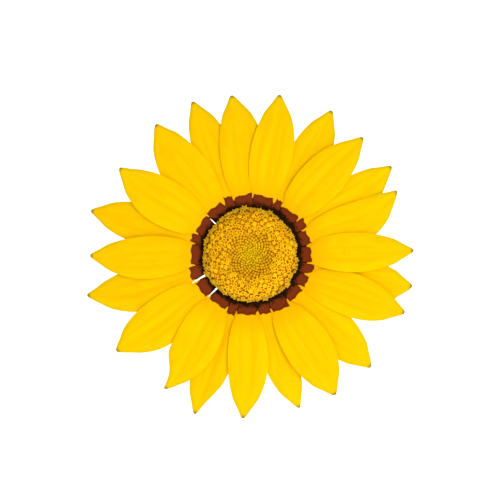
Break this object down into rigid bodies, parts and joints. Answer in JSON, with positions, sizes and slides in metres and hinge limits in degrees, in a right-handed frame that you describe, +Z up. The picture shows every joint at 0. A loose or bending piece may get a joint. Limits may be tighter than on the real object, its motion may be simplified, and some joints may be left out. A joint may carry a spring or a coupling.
{
  "type": "treasure flower",
  "caption": "Cut yellow daisy-like flower with a leafless stalk, lying on its stalk and its lower petal tips with the face turned up at an angle.",
  "frame": {"origin": "centre of the footprint on the surface that the flower lies on", "axes": "+Z up, +Y along the stalk from the bloom towards the cut end, +X to the right of a viewer who faces the bloom"},
  "size_m": [0.0762, 0.1286, 0.0656],
  "materials": {
    "ray_petals": "satin petal skin, yellow with a red-brown and black mark at the base",
    "open_florets": "matt orange-yellow florets",
    "buds": "matt olive-yellow buds",
    "involucre": "satin green bracts with fine hairs",
    "stalk": "satin green stalk with fine hairs"
  },
  "bodies": {
    "root": {"ray_petals": "ray_petals", "disc_open_florets": "open_florets", "disc_buds": "buds", "involucre": "involucre", "stalk": "stalk"}
  },
  "joints": []
}
